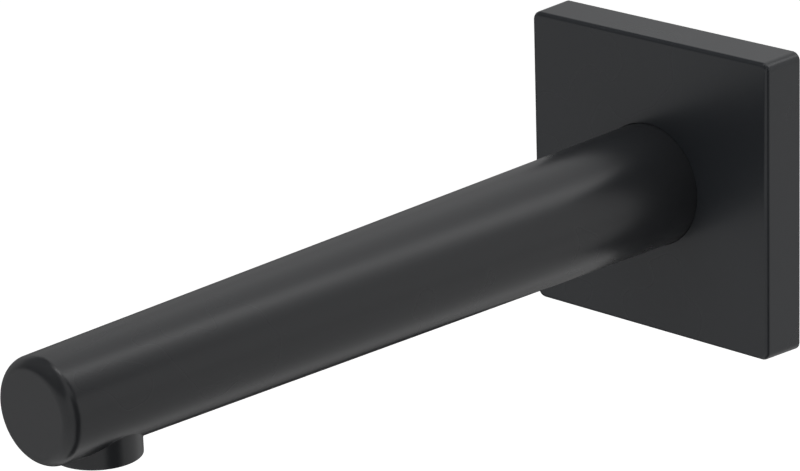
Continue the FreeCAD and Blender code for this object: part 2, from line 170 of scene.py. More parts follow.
# %% [markdown]
# The hidden pieces each have an honest finish too, because the back and the underside are seen when the part is
# turned. Turned brass shows the lathe tool's fine rings round its axis, which a Wave Texture draws as a bump. A
# real feed mark is about 0.1 mm wide, and it is drawn 0.25 mm wide so that it shows.

# %% Turned brass
def turned_brass():
    """Brass off the lathe: warm yellow metal, with tool rings along Y."""
    material, tree, shader = new_material("turned_brass")
    shader.inputs["Metallic"].default_value = 1.0
    place = add(tree, "ShaderNodeTexCoord").outputs["Object"]
    stain = add(tree, "ShaderNodeTexNoise", {"Vector": place, "Scale": 1 / (6 * MM), "Detail": 3.0})
    tint = add(tree, "ShaderNodeValToRGB", {"Fac": stain.outputs["Fac"]})
    tint.color_ramp.elements[0].color = colour("#B98F45")
    tint.color_ramp.elements[0].position = 0.3
    tint.color_ramp.elements[1].color = colour("#D9B268")
    tint.color_ramp.elements[1].position = 0.7
    tree.links.new(tint.outputs["Color"], shader.inputs["Base Color"])
    dullness = add(tree, "ShaderNodeMapRange", {"Value": stain.outputs["Fac"], "To Min": 0.34, "To Max": 0.22})
    tree.links.new(dullness.outputs["Result"], shader.inputs["Roughness"])
    rings = add(tree, "ShaderNodeTexWave", {"Vector": place, "Scale": 0.314 / (0.25 * MM)}, bands_direction="Y")
    bump = add(tree, "ShaderNodeBump", {"Height": rings.outputs["Fac"], "Distance": 0.003 * MM, "Strength": 1.0})
    tree.links.new(bump.outputs["Normal"], shader.inputs["Normal"])
    return material


brass = turned_brass()
print("made", brass.name)

# %% [markdown]
# Stainless steel wire and a stainless set screw are bright and a little grey. Drawn wire and rolled thread both
# leave faint lengthwise marks, too fine to see here, so a small noise in the roughness stands for them.

# %% Drawn stainless steel
def drawn_steel():
    """Bright stainless steel with a slightly uneven polish."""
    material, tree, shader = new_material("drawn_stainless_steel")
    shader.inputs["Base Color"].default_value = colour("#C4C3C0")
    shader.inputs["Metallic"].default_value = 1.0
    place = add(tree, "ShaderNodeTexCoord").outputs["Object"]
    marks = add(tree, "ShaderNodeTexNoise", {"Vector": place, "Scale": 1 / (0.8 * MM), "Detail": 3.0})
    dullness = add(tree, "ShaderNodeMapRange", {"Value": marks.outputs["Fac"], "To Min": 0.18, "To Max": 0.4})
    tree.links.new(dullness.outputs["Result"], shader.inputs["Roughness"])
    return material


steel = drawn_steel()
print("made", steel.name)

# %% [markdown]
# The O-rings and the washer are moulded EPDM rubber: near black, with a dull bloom and a very fine texture from
# the mould. The frame behind the plate's rim is closed-cell foam, cut from sheet, so its cut cells show as small
# pits. A Voronoi texture gives each cell, about 0.7 mm across, and the middle of each pit is painted darker as
# painted shade.

# %% Moulded rubber and closed-cell foam
def moulded_rubber():
    """Dull black rubber with a soft bloom."""
    material, tree, shader = new_material("moulded_epdm_rubber")
    place = add(tree, "ShaderNodeTexCoord").outputs["Object"]
    bloom = add(tree, "ShaderNodeTexNoise", {"Vector": place, "Scale": 1 / (2.5 * MM), "Detail": 4.0})
    tint = add(tree, "ShaderNodeValToRGB", {"Fac": bloom.outputs["Fac"]})
    tint.color_ramp.elements[0].color = colour("#141414")
    tint.color_ramp.elements[1].color = colour("#262626")
    tree.links.new(tint.outputs["Color"], shader.inputs["Base Color"])
    shader.inputs["Roughness"].default_value = 0.62
    shader.inputs["IOR"].default_value = 1.52
    skin = add(tree, "ShaderNodeTexNoise", {"Vector": place, "Scale": 1 / (0.2 * MM)})
    bump = add(tree, "ShaderNodeBump", {"Height": skin.outputs["Fac"], "Distance": 0.01 * MM, "Strength": 0.6})
    tree.links.new(bump.outputs["Normal"], shader.inputs["Normal"])
    return material


def cut_foam():
    """Charcoal polyethylene foam with open pits where cells were cut, their insides darkened as painted shade."""
    material, tree, shader = new_material("closed_cell_pe_foam")
    place = add(tree, "ShaderNodeTexCoord").outputs["Object"]
    cells = add(tree, "ShaderNodeTexVoronoi", {"Vector": place, "Scale": 1 / (0.7 * MM)}, feature="DISTANCE_TO_EDGE")
    wall = add(tree, "ShaderNodeMapRange", {"Value": cells.outputs["Distance"], "From Max": 0.35})
    # Painted shade: the base colour runs from the lighter cell walls to a darker middle in each recessed pit.
    tint = add(tree, "ShaderNodeMix", {
        "Factor": wall.outputs["Result"], "A": colour("#4A4A4C"), "B": colour("#2A2A2C")}, data_type="RGBA")
    tree.links.new(tint.outputs["Result"], shader.inputs["Base Color"])
    shader.inputs["Roughness"].default_value = 0.85
    shader.inputs["IOR"].default_value = 1.5
    pits = add(tree, "ShaderNodeBump", {
        "Height": wall.outputs["Result"], "Distance": 0.12 * MM, "Strength": 0.7}, invert=True)
    tree.links.new(pits.outputs["Normal"], shader.inputs["Normal"])
    return material


rubber, foam = moulded_rubber(), cut_foam()
print("made", rubber.name, "and", foam.name)

# %% [markdown]
# The aerator's plastics are acetal, injection moulded against a spark-eroded tool. That gives the black shell and
# the grey honeycomb a fine even matt, while the white core pieces are a little smoother and let some light in.

# %% Moulded acetal
def moulded_acetal(name, base, roughness, glow):
    """A moulded plastic with a fine spark-eroded grain. glow is how much light goes into it."""
    material, tree, shader = new_material(name)
    shader.inputs["Base Color"].default_value = colour(base)
    shader.inputs["IOR"].default_value = 1.48
    shader.inputs["Subsurface Weight"].default_value = glow
    shader.inputs["Subsurface Scale"].default_value = 1.0 * MM
    place = add(tree, "ShaderNodeTexCoord").outputs["Object"]
    grain = add(tree, "ShaderNodeTexNoise", {"Vector": place, "Scale": 1 / (0.12 * MM), "Detail": 2.0})
    dullness = add(tree, "ShaderNodeMapRange", {
        "Value": grain.outputs["Fac"], "To Min": roughness - 0.06, "To Max": roughness + 0.06})
    tree.links.new(dullness.outputs["Result"], shader.inputs["Roughness"])
    bump = add(tree, "ShaderNodeBump", {"Height": grain.outputs["Fac"], "Distance": 0.006 * MM, "Strength": 0.5})
    tree.links.new(bump.outputs["Normal"], shader.inputs["Normal"])
    return material


shell_plastic = moulded_acetal("moulded_black_acetal", "#242425", 0.42, 0.0)
core_plastic = moulded_acetal("moulded_white_acetal", "#E2E1DC", 0.35, 0.2)
grid_plastic = moulded_acetal("moulded_grey_acetal", "#A9ABAE", 0.4, 0.1)
print("made", shell_plastic.name, core_plastic.name, grid_plastic.name)

# %% [markdown]
# Geometry Nodes make the pieces below that follow a rule. Every tree starts with named inputs for its sizes. Every
# tree ends the same way too: its instances are made real and the material is set, because an export drops
# instances. Two helpers hold what the trees share.

# %% How a tree starts and ends
def new_tree(name, **sockets):
    """A tree with one output and these inputs, each with its kind. Returns the tree and its inputs."""
    tree = bpy.data.node_groups.new(name, "GeometryNodeTree")
    for socket, kind in sockets.items():
        tree.interface.new_socket(socket, in_out="INPUT", socket_type="NodeSocket" + kind)
    tree.interface.new_socket("Piece", in_out="OUTPUT", socket_type="NodeSocketGeometry")
    return tree, add(tree, "NodeGroupInput").outputs


def close_tree(tree, given, geometry):
    """Makes the geometry's instances real, sets the Material and hands the piece out."""
    real = add(tree, "GeometryNodeRealizeInstances", {"Geometry": geometry})
    dressed = add(tree, "GeometryNodeSetMaterial", {
        "Geometry": real.outputs["Geometry"], "Material": given["Material"]})
    add(tree, "NodeGroupOutput", {"Piece": dressed.outputs["Geometry"]})
    return tree


# %% [markdown]
# Most pieces here are turned on a lathe or moulded round, so one Geometry Nodes tree makes them all. It takes a
# profile, a chain of points with the radius in X and the place along the axis in Z, and lays a grid over it: one
# way runs along the profile, the other once round the axis. Where two columns or rows fall on each other they are
# merged, which closes the seam and the poles.
# The same tree cuts a screw thread as a die does. Between two places along the axis it pushes every point that
# stands between the crest and the root back to a helical surface. The groove's depth follows the point's turn
# plus its place in pitches, and fades over half a pitch at both ends.

# %% The tree that turns a profile and cuts its thread
def turning_tree():
    """Builds the tree. Its inputs are in metres, apart from the counts and the angle."""
    tree, given = new_tree(
        "turned_piece", Profile="Geometry", Segments="Int", Pitch="Float", Depth="Float", Crest="Float", Low="Float",
        High="Float", Place="Vector", Turn="Vector", Material="Material")

    def maths(operation, *values, **options):
        made = add(tree, "ShaderNodeMath", dict(enumerate(values)), operation=operation, **options)
        return made.outputs[0]

    rows = add(tree, "GeometryNodeAttributeDomainSize", {"Geometry": given["Profile"]}).outputs["Point Count"]
    columns = maths("ADD", given["Segments"], 1.0)
    grid = add(tree, "GeometryNodeMeshGrid", {"Vertices X": rows, "Vertices Y": columns}).outputs["Mesh"]
    index = add(tree, "GeometryNodeInputIndex").outputs["Index"]
    row = maths("FLOOR", maths("DIVIDE", maths("ADD", index, 0.5), columns))
    column = maths("SUBTRACT", index, maths("MULTIPLY", row, columns))
    place = add(tree, "GeometryNodeInputPosition").outputs["Position"]
    point = add(tree, "GeometryNodeSampleIndex", {
        "Geometry": given["Profile"], "Value": place, "Index": row}, data_type="FLOAT_VECTOR")
    split = add(tree, "ShaderNodeSeparateXYZ", {0: point.outputs["Value"]})
    radius, along = split.outputs["X"], split.outputs["Z"]
    share = maths("DIVIDE", column, given["Segments"])

    phase = maths("FRACT", maths("SUBTRACT", maths("DIVIDE", along, given["Pitch"]), share))
    wave = maths("ABSOLUTE", maths("MULTIPLY_ADD", phase, 2.0, -1.0))
    groove = add(tree, "ShaderNodeMapRange", {
        "Value": wave, "From Min": 0.12, "From Max": 0.88}, interpolation_type="SMOOTHSTEP").outputs["Result"]
    to_end = maths("MINIMUM", maths("SUBTRACT", along, given["Low"]), maths("SUBTRACT", given["High"], along))
    fade = maths("DIVIDE", to_end, maths("MULTIPLY", given["Pitch"], 0.5), use_clamp=True)
    cut = maths("MULTIPLY", maths("MULTIPLY", groove, fade), given["Depth"])
    helix = maths("SUBTRACT", given["Crest"], cut)
    slack = 0.02 * MM
    root = maths("SUBTRACT", given["Crest"], given["Depth"])
    above_root = maths("GREATER_THAN", radius, maths("SUBTRACT", root, slack))
    below_crest = maths("LESS_THAN", radius, maths("ADD", given["Crest"], slack))
    held = maths("MULTIPLY", above_root, below_crest)
    threaded = maths("MINIMUM", radius, helix)
    final = add(tree, "ShaderNodeMix", {"Factor": held, "A": radius, "B": threaded}).outputs["Result"]

    turn = maths("MULTIPLY", share, 2 * math.pi)
    x = maths("MULTIPLY", final, maths("COSINE", turn))
    y = maths("MULTIPLY", final, maths("SINE", turn))
    spot = add(tree, "ShaderNodeCombineXYZ", {"X": x, "Y": y, "Z": along}).outputs["Vector"]
    wrapped = add(tree, "GeometryNodeSetPosition", {"Geometry": grid, "Position": spot}).outputs["Geometry"]
    closed = add(tree, "GeometryNodeMergeByDistance", {"Geometry": wrapped, "Distance": 1e-6}).outputs["Geometry"]
    moved = add(tree, "GeometryNodeTransform", {
        "Geometry": closed, "Translation": given["Place"], "Rotation": given["Turn"]}).outputs["Geometry"]
    return close_tree(tree, given, moved)


turned_piece = turning_tree()
print("tree", turned_piece.name, "has", len(turned_piece.nodes), "nodes")

# %% [markdown]
# A modifier holds the tree's inputs, and Python finds each by its socket's identifier. The evaluated result is
# copied into a plain mesh and the modifier goes. A corner sharper than 30 degrees is drawn as an edge, and the
# rest is shaded smooth. Faces must point outwards, so the enclosed volume is measured, and a piece whose volume
# is negative is turned inside out.

# %% Running a tree, finishing a mesh
def run_tree(piece, tree, values):
    """Runs a tree on a piece and keeps the result as its plain mesh."""
    modifier = piece.modifiers.new("tree", "NODES")
    modifier.node_group = tree
    for item in tree.interface.items_tree:
        if item.name in values:
            modifier[item.identifier] = values[item.name]
    graph = bpy.context.evaluated_depsgraph_get()
    piece.data = bpy.data.meshes.new_from_object(piece.evaluated_get(graph))
    piece.modifiers.remove(modifier)
    return piece


def new_piece(name, points=(), edges=(), faces=(), material=None):
    """An object at the origin with a mesh, whose points are in millimetres."""
    mesh = bpy.data.meshes.new(name)
    mesh.from_pydata([Vector(p) * MM for p in points], edges, faces)
    if material:
        mesh.materials.append(material)
    piece = bpy.data.objects.new(name, mesh)
    bpy.context.scene.collection.objects.link(piece)
    return piece


def shade(piece, sharp_degrees=30):
    """Turns faces outwards where the piece is inside out, and shades it smooth between its sharp edges."""
    work = bmesh.new()
    work.from_mesh(piece.data)
    if work.calc_volume(signed=True) < 0:
        bmesh.ops.reverse_faces(work, faces=work.faces)
    work.to_mesh(piece.data)
    work.free()
    piece.data.shade_smooth()
    piece.data.set_sharp_from_angle(angle=math.radians(sharp_degrees))
    return piece


ALONG_ARM = (math.pi / 2, 0, 0)
UPRIGHT = (0, 0, 0)


def turned(name, profile, material, segments=160, turn=ALONG_ARM, place=(0, 0, 0), thread=None):
    """Turns a profile of (radius, place along the axis) in millimetres. thread is pitch, depth, crest, low, high."""
    points = [(r, 0, t) for r, t in profile]
    chain = [(i, i + 1) for i in range(len(points) - 1)]
    piece = new_piece(name, points, chain)
    values = {"Segments": segments, "Pitch": MM, "Turn": turn, "Place": Vector(place) * MM, "Material": material}
    if thread:
        values.update(zip(("Pitch", "Depth", "Crest", "Low", "High"), (v * MM for v in thread)))
    run_tree(piece, turned_piece, values)
    return shade(piece)


def steps(start, end, step):
    """Evenly spaced numbers from start to end, both included, about a step apart."""
    count = max(1, round(abs(end - start) / step))
    return [start + (end - start) * i / count for i in range(count + 1)]


def arc(centre_r, centre_t, radius, start, end, count=12):
    """Profile points on an arc, from one angle to another in degrees. 0 points away from the axis."""
    turns = [math.radians(start + (end - start) * i / count) for i in range(count + 1)]
    return [(centre_r + radius * math.cos(a), centre_t + radius * math.sin(a)) for a in turns]


def boolean(piece, other, operation="DIFFERENCE"):
    """Cuts another piece out of this one, or joins or intersects them, and removes the other."""
    modifier = piece.modifiers.new("boolean", "BOOLEAN")
    modifier.operation = operation
    modifier.solver = "EXACT"
    modifier.object = other
    graph = bpy.context.evaluated_depsgraph_get()
    piece.data = bpy.data.meshes.new_from_object(piece.evaluated_get(graph))
    piece.modifiers.remove(modifier)
    bpy.data.objects.remove(other)
    return shade(piece)


def join(piece, *others):
    """Puts the meshes of the others into this piece."""
    work = bmesh.new()
    work.from_mesh(piece.data)
    for other in others:
        work.from_mesh(other.data)
        bpy.data.objects.remove(other)
    work.to_mesh(piece.data)
    work.free()
    return shade(piece)


def settle(piece, slot, *nodes):
    """Gives a finished piece its one material slot, and fixes it to the frame in place of the named solids. slot is
    not used.
    """
    finish = next(m for m in piece.data.materials if m)
    piece.data.materials.clear()
    piece.data.materials.append(finish)
    piece.data.polygons.foreach_set("material_index", [0] * len(piece.data.polygons))
    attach(piece, "root")
    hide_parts(*nodes)
    triangles = sum(len(p.vertices) - 2 for p in piece.data.polygons)
    print(f"{piece.name}: {triangles} triangles in place of {', '.join(nodes)}")


# %% [markdown]
# The arm is cast brass: a smooth cone with a rounded tip, hollow inside. Its profile starts at the middle of the
# end face, runs round the 3 mm edge and down the long taper to the tail, and comes back through the socket and
# the waterway. The points lie close together only where the surface bends or is cut, and a narrow pair on each
# side of the rounding keeps the flat face's shading flat.

# %% The arm's body
def arm_profile():
    """The closed skin of the hollow arm, from the outer pole to the inner one."""
    lean = math.degrees(math.atan(TAPER))
    edge_centre_r = TIP_R - TIP_EDGE_R / math.cos(math.radians(lean))
    edge_centre_t = ARM_LENGTH - TIP_EDGE_R
    face = [(r, ARM_LENGTH) for r in (0, 3, 6, edge_centre_r - 0.15)]
    edge = arc(edge_centre_r, edge_centre_t, TIP_EDGE_R, 90, lean, 20)
    along = [193.4, *steps(192, 169, 0.5), *steps(165, 25, 5), *steps(22, 13, 0.5), 11.2, PLATE_DEPTH]
    side = [(arm_radius(t), t) for t in along]
    tail = [(BASE_R, 10.8), (BASE_R, TAIL), (SOCKET_R + 0.5, TAIL)]
    socket = [(SOCKET_R, TAIL + 1), (SOCKET_R, 13), (SOCKET_R, 22), (SOCKET_R, SOCKET_END)]
    start_r = arm_radius(SOCKET_END) - 4.4
    end_r = arm_radius(WATERWAY_END) - 3.5
    core = [(start_r, SOCKET_END), (end_r + 0.2, 168), (end_r, WATERWAY_END - 3), (end_r - 3, WATERWAY_END)]
    return face + edge + side + tail + socket + core + [(0, WATERWAY_END)]


arm = turned("spout_arm_dressed", arm_profile(), coated_brass, segments=256)
cut_r, cut_top, cut_end = 8.9, -6.5, -14.0
outlet_cut = [(0, cut_top), (cut_r, cut_top), (cut_r, cut_end), (0, cut_end)]
boolean(arm, turned("outlet_cut", outlet_cut, None, 128, UPRIGHT, (0, -REACH, 0)))
tap_r = 2.5
screw_out = PLATE_DEPTH + 6.5
skin = arm_radius(screw_out)
hole = [(0, 0), (tap_r, 0), (tap_r, 0.3 - skin), (tap_r + 1.3, -skin - 1), (0, -skin - 1)]
boolean(arm, turned("screw_cut", hole, None, 64, UPRIGHT, (0, -screw_out, 0)))
print("arm body:", len(arm.data.polygons), "faces")

# %% [markdown]
# The outlet is cast on the arm, and a foundry never leaves a knife-sharp inner corner there. The ring itself is a
# turned piece with the aerator's fine thread inside. The fillet round its foot follows the saddle where an upright
# cylinder meets the cone. A ball of the fillet's radius is rolled round that corner: its centre lies one radius
# from both surfaces, and the short arc between its two touching points is the fillet.

# %% The outlet ring and the fillet at its foot
FOOT_R = 0.35
THREAD_M16 = (1.0, 0.55, OUTLET_BORE_R, OUTLET_MOUTH_Z + 0.4, SEAT_Z - 1.0)


def outlet_profile():
    """The outlet ring with its seat, closed on itself."""
    rim = arc(OUTLET_R - 0.2, OUTLET_MOUTH_Z + 0.2, 0.2, 0, -90, 5)
    bore = [(OUTLET_BORE_R, z) for z in steps(OUTLET_MOUTH_Z + 0.3, SEAT_Z, 0.1)]
    ring = [(SEAT_BORE_R, SEAT_TOP_Z), (OUTLET_R, SEAT_TOP_Z), (OUTLET_R, -9.0), (OUTLET_R, -12.9)]
    ring += rim + [(OUTLET_BORE_R + 0.3, OUTLET_MOUTH_Z)] + bore
    return ring + [(SEAT_BORE_R, SEAT_Z), (SEAT_BORE_R, SEAT_TOP_Z)]


def foot_fillet(name, material, columns=192, rows=7):
    """The rolled fillet between the outlet's wall and the arm, with its back closed inside the metal."""
    lean = math.atan(TAPER)
    points = []
    for i in range(columns):
        turn = 2 * math.pi * i / columns
        wall = Vector((math.cos(turn), math.sin(turn), 0))
        middle = wall * (OUTLET_R + FOOT_R) + Vector((0, -REACH, 0))
        from_axis = arm_radius(-middle.y) + FOOT_R / math.cos(lean)
        middle.z = -math.sqrt(from_axis ** 2 - middle.x ** 2)
        outward = Vector((middle.x / from_axis, -math.tan(lean), middle.z / from_axis)).normalized()
        for k in range(rows):
            points.append(middle - wall.slerp(outward, k / (rows - 1)) * FOOT_R)
        points.append(middle - wall * (FOOT_R + 0.3) - outward * (FOOT_R + 0.3))
    loop = rows + 1
    faces = []
    for i in range(columns):
        here, following = i * loop, (i + 1) % columns * loop
        for k in range(loop):
            after = (k + 1) % loop
            faces.append((here + k, here + after, following + after, following + k))
    return shade(new_piece(name, points, (), faces, material))


ring = turned("outlet_ring", outlet_profile(), coated_brass, 192, UPRIGHT, (0, -REACH, 0), THREAD_M16)
join(arm, ring, foot_fillet("foot_fillet", coated_brass))
settle(arm, "black_coated_brass", "spout_arm")

# %% [markdown]
# The nipple is turned from brass bar. Its long end carries a half-inch parallel pipe thread, 14 turns to the inch,
# that screws into the wall fitting. The sealed spigot has two grooves for O-rings and a V for the screw's point,
# and a hexagon between the two takes the spanner.

# %% The connection nipple
PIPE_R = 20.955 / 2
PIPE_PITCH = 1.814
PIPE_DEPTH = 0.6403 * PIPE_PITCH
PIPE_ROOT_R = PIPE_R - PIPE_DEPTH
RING_FLOOR_R = SOCKET_R - 1.6
RING_OUTS = (29.526, 25.026)


def nipple_profile():
    """The nipple's section from the spigot's front to the thread's end, closed on itself."""
    half = 1.288
    outside = [(7, 32.814), (9.5, 32.814), (10, 31.814)]
    for out in RING_OUTS:
        outside += [(10, out + half), (RING_FLOOR_R, out + half), (RING_FLOOR_R, out - half), (10, out - half)]
    outside += [(10, 19.0), (8.5, 17.5), (10, 16.0), (10, 4.814), (PIPE_ROOT_R, 2.314)]
    outside += [(PIPE_ROOT_R, 0.5 + PIPE_DEPTH)]
    outside += [(PIPE_R, t) for t in steps(0.5, -13.5 + PIPE_DEPTH, 0.15)]
    return outside + [(PIPE_ROOT_R, -13.5), (7, -13.5), (7, 32.814)]


nipple = turned("connection_nipple_dressed", nipple_profile(), brass, 128,
                thread=(PIPE_PITCH, PIPE_DEPTH, PIPE_R, -14.5, 1.2))
print("nipple body:", len(nipple.data.polygons), "faces")

# %% [markdown]
# The hexagon is what a spanner holds, 24 mm across its flats. Six segments of the turning tree give a hexagonal
# column. Its rear corners are chamfered on the lathe, which is a cone that meets the column, so the two are
# intersected. Then it is joined to the body as one solid.

# %% The nipple's hexagon
FLATS = 24.0
HEX_REAR = 2.314
corner_r = FLATS / math.sqrt(3)
slope = (corner_r - FLATS / 2) * math.tan(math.radians(30))
column = [(8, TAIL), (corner_r, TAIL), (corner_r, HEX_REAR), (8, HEX_REAR), (8, TAIL)]
hexagon = turned("hexagon", column, brass, 6, (math.pi / 2, math.radians(30), 0))
cone = [(7, TAIL + 1), (corner_r, TAIL + 1), (corner_r, HEX_REAR + slope), (FLATS / 2, HEX_REAR), (7, HEX_REAR)]
boolean(hexagon, turned("hexagon_chamfer", cone + cone[:1], brass, 96), "INTERSECT")
boolean(nipple, hexagon, "UNION")
settle(nipple, "machined_brass", "connection_nipple")

# %% [markdown]
# An O-ring is a round cord of rubber moulded into a ring. Squeezed in its groove it turns into a rounded oval, flat
# where it presses on brass. That oval is drawn with a superellipse, a circle whose sine and cosine are raised to a
# power below one, which keeps the corners soft. CAD keeps them with bevels, and these stand in their places.

# %% The O-rings
RING_HEIGHT = 1.6
RING_WIDTH = 2.276


def squeezed_ring(inner_r, out, count=28):
    """The oval section of a squeezed O-ring, closed on itself."""
    section = []
    for i in range(count + 1):
        turn = 2 * math.pi * i / count
        across = math.copysign(abs(math.cos(turn)) ** 0.6, math.cos(turn))
        along = math.copysign(abs(math.sin(turn)) ** 0.85, math.sin(turn))
        section.append((inner_r + RING_HEIGHT / 2 * (1 + across), out + RING_WIDTH / 2 * along))
    return section


ring_places = {
    "escutcheon_o_ring": (BASE_R, 7.296),
    "nipple_o_ring_front": (RING_FLOOR_R, RING_OUTS[0]),
    "nipple_o_ring_rear": (RING_FLOOR_R, RING_OUTS[1]),
}
for node_name, (inner_r, out) in ring_places.items():
    settle(turned(node_name + "_round", squeezed_ring(inner_r, out), rubber, 128), "seal_rubber", node_name)

# %% [markdown]
# The grub screw is an M5 set screw with a cone point, which sits in the nipple's V and pulls the arm home. It is
# turned and threaded by the same tree, with a 0.8 mm pitch, and the hexagon socket for a 2.5 mm key is cut out of
# its lower end.

# %% The grub screw
SCREW_END_Z = -13.75
SCREW_R = 2.45
KEY_FLATS = 2.5
point = [(0, -8.75), (0.2, -8.75), (2.0, -10.55)]
side = [(SCREW_R, z) for z in steps(-11.0, SCREW_END_Z + 0.5, 0.08)]
screw = turned("grub_screw_dressed", point + side + [(1.95, SCREW_END_Z), (0, SCREW_END_Z)], steel, 64, UPRIGHT,
               (0, -screw_out, 0), (0.8, 0.45, SCREW_R, SCREW_END_Z + 0.1, -10.9))
key_r, key_top = KEY_FLATS / math.sqrt(3), SCREW_END_Z + 2.4
socket = [(0, key_top), (key_r, key_top), (key_r, SCREW_END_Z - 1), (0, SCREW_END_Z - 1)]
boolean(screw, turned("key_socket", socket, steel, 6, (0, 0, math.radians(30)), (0, -screw_out, 0)))
settle(screw, "stainless_steel", "grub_screw")

# %% [markdown]
# The aerator is a cartridge that screws into the outlet. Its shell has a fine outer thread and, in its lower rim,
# eight notches for the key. Notches on a circle are a rule, so a second tree sets a block on each point of a
# circle, turned to face outwards. The blocks are then cut out of the shell.

# %% The tree that sets blocks on a circle
def circle_tree():
    """Builds the tree: Count blocks of a Size on a circle of a Radius round a Place."""
    tree, given = new_tree(
        "blocks_on_a_circle", Count="Int", Radius="Float", Size="Vector", Place="Vector", Material="Material")
    circle = add(tree, "GeometryNodeMeshCircle", {"Vertices": given["Count"], "Radius": given["Radius"]})
    block = add(tree, "GeometryNodeMeshCube", {"Size": given["Size"]})
    place = add(tree, "ShaderNodeSeparateXYZ", {0: add(tree, "GeometryNodeInputPosition").outputs[0]})
    angle = add(tree, "ShaderNodeMath", {0: place.outputs["Y"], 1: place.outputs["X"]}, operation="ARCTAN2")
    facing = add(tree, "ShaderNodeCombineXYZ", {"Z": angle.outputs[0]})
    blocks = add(tree, "GeometryNodeInstanceOnPoints", {
        "Points": circle.outputs["Mesh"], "Instance": block.outputs["Mesh"], "Rotation": facing.outputs[0]})
    moved = add(tree, "GeometryNodeTransform", {
        "Geometry": blocks.outputs["Instances"], "Translation": given["Place"]})
    return close_tree(tree, given, moved.outputs["Geometry"])


blocks_on_a_circle = circle_tree()
print("tree", blocks_on_a_circle.name, "has", len(blocks_on_a_circle.nodes), "nodes")

# %% The aerator's shell
SHELL_R = 8.2
SHELL_END_Z = -13.2
shell_profile = [(7.05, SHELL_END_Z), (7.9, SHELL_END_Z)]
shell_profile += [(SHELL_R, z) for z in steps(-12.9, -8.6, 0.1)]
shell_profile += [(6.4, -8.6), (6.4, -5.0), (5.6, -5.0), (5.6, -6.5), (4.9, -6.5), (4.9, -7.3), (5.6, -8.0)]
shell_profile += [(5.6, -11.1), (7.05, -11.1), (7.05, SHELL_END_Z)]
shell = turned("aerator_shell_dressed", shell_profile, shell_plastic, 128, UPRIGHT, (0, -REACH, 0),
               (*THREAD_M16[:2], SHELL_R, SHELL_END_Z - 1, SEAT_Z))
notches = run_tree(new_piece("notches"), blocks_on_a_circle, {
    "Count": 8, "Radius": (7.45 + 0.6) * MM, "Size": (1.2 * MM, 1.6 * MM, 2.0 * MM),
    "Place": (0, -REACH * MM, SHELL_END_Z * MM), "Material": shell_plastic})
boolean(shell, notches)
settle(shell, "aerator_shell_plastic", "aerator_housing")

# %% [markdown]
# The screen over the honeycomb is woven from steel wire. In a plain weave each wire goes over one crossing wire
# and under the next, so its height is a cosine along it, and its neighbour's is the same wave turned over. The
# third tree lays straight wires on a line, stretches each to the disc's chord, waves them and gives them a round
# section. A second set crosses them with the opposite wave. CAD has square gaps in a sheet instead, 1.1 mm apart,
# and real cloth of this kind is finer, so the wires lie 0.55 mm apart.

# %% The tree that weaves a round screen
def weaving_tree():
    """Builds the tree. Radius, Pitch and Wire, its thickness, are in metres."""
    tree, given = new_tree(
        "woven_disc", Radius="Float", Pitch="Float", Wire="Float", Place="Vector", Material="Material")

    def maths(operation, *values):
        return add(tree, "ShaderNodeMath", dict(enumerate(values)), operation=operation).outputs[0]

    def vector(x=0.0, y=0.0, z=0.0):
        return add(tree, "ShaderNodeCombineXYZ", {"X": x, "Y": y, "Z": z}).outputs[0]

    half_count = maths("FLOOR", maths("DIVIDE", maths("SUBTRACT", given["Radius"], given["Wire"]), given["Pitch"]))
    first = vector(maths("MULTIPLY", maths("MULTIPLY", half_count, given["Pitch"]), -1.0))
    stations = add(tree, "GeometryNodeMeshLine", {
        "Count": maths("MULTIPLY_ADD", half_count, 2.0, 1.0), "Start Location": first,
        "Offset": vector(given["Pitch"])}).outputs["Mesh"]
    wire = add(tree, "GeometryNodeMeshLine", {
        "Count": 73, "Start Location": (0, -1, 0), "Offset": (0, 2 / 72, 0)}).outputs["Mesh"]
    along = add(tree, "ShaderNodeSeparateXYZ", {0: add(tree, "GeometryNodeInputPosition").outputs[0]}).outputs
    square = maths("SUBTRACT", maths("MULTIPLY", given["Radius"], given["Radius"]),
                   maths("MULTIPLY", along["X"], along["X"]))
    chord = vector(1.0, maths("SQRT", square), 1.0)
    straight = add(tree, "GeometryNodeInstanceOnPoints", {
        "Points": stations, "Instance": wire, "Scale": chord}).outputs["Instances"]
    straight = add(tree, "GeometryNodeRealizeInstances", {"Geometry": straight}).outputs["Geometry"]
    rate = maths("DIVIDE", math.pi, given["Pitch"])
    wave = maths("MULTIPLY", maths("COSINE", maths("MULTIPLY", along["X"], rate)),
                 maths("COSINE", maths("MULTIPLY", along["Y"], rate)))
    height = maths("MULTIPLY", maths("MULTIPLY", wave, given["Wire"]), 0.5)
    section = add(tree, "GeometryNodeCurvePrimitiveCircle", {
        "Resolution": 6, "Radius": maths("MULTIPLY", given["Wire"], 0.5)}).outputs["Curve"]
    sets = []
    for turn, sign in ((0.0, 1.0), (math.pi / 2, -1.0)):
        laid = add(tree, "GeometryNodeTransform", {"Geometry": straight, "Rotation": (0, 0, turn)})
        waved = add(tree, "GeometryNodeSetPosition", {
            "Geometry": laid.outputs["Geometry"], "Offset": vector(0.0, 0.0, maths("MULTIPLY", height, sign))})
        line = add(tree, "GeometryNodeMeshToCurve", {"Mesh": waved.outputs["Geometry"]})
        sets.append(add(tree, "GeometryNodeCurveToMesh", {
            "Curve": line.outputs["Curve"], "Profile Curve": section, "Fill Caps": True}).outputs["Mesh"])
    hoop = add(tree, "GeometryNodeCurvePrimitiveCircle", {
        "Resolution": 96, "Radius": maths("SUBTRACT", given["Radius"], given["Wire"])}).outputs["Curve"]
    hem = add(tree, "GeometryNodeCurvePrimitiveCircle", {"Resolution": 12, "Radius": given["Wire"]}).outputs["Curve"]
    rim = add(tree, "GeometryNodeCurveToMesh", {"Curve": hoop, "Profile Curve": hem}).outputs["Mesh"]
    joined = add(tree, "GeometryNodeJoinGeometry")
    for part in (*sets, rim):
        tree.links.new(part, joined.inputs[0])
    moved = add(tree, "GeometryNodeTransform", {
        "Geometry": joined.outputs["Geometry"], "Translation": given["Place"]})
    return close_tree(tree, given, moved.outputs["Geometry"])


